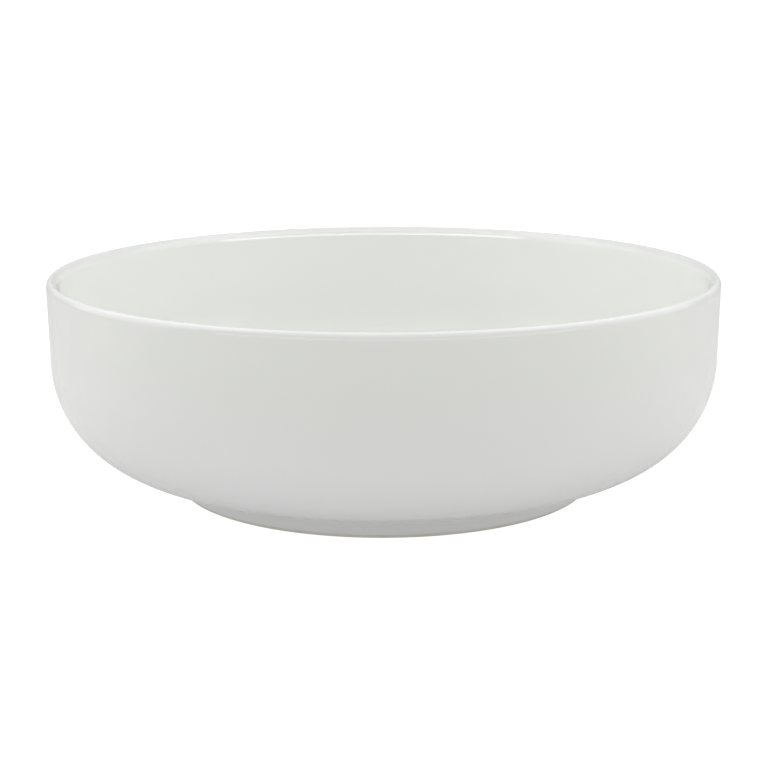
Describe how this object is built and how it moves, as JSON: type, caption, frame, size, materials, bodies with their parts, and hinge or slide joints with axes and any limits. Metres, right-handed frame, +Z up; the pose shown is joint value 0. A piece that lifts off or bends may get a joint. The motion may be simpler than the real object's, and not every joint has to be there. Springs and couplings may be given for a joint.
{
  "type": "porcelain serving bowl",
  "caption": "Round open serving bowl in white glazed porcelain: near-vertical wall, rounded lip and shoulder, flat floor and a low foot ring.",
  "frame": {"origin": "centre of the foot ring's contact plane, on the bowl's axis", "axes": "+Z up along the bowl's axis of symmetry, towards the mouth; the bowl is the same all round, so +X and +Y are any two level directions"},
  "size_m": [0.25, 0.25, 0.081],
  "materials": {
    "bisque": "fired white porcelain, unglazed and matt; bare only on the foot ring's edge",
    "glaze": "clear gloss glaze over white porcelain, white with a faint green cast",
    "well_glaze": "the same clear gloss glaze on the underside inside the foot ring"
  },
  "bodies": {
    "root": {"porcelain_body": "bisque", "glaze_coat": "glaze", "glaze_foot_well": "well_glaze"}
  },
  "joints": []
}
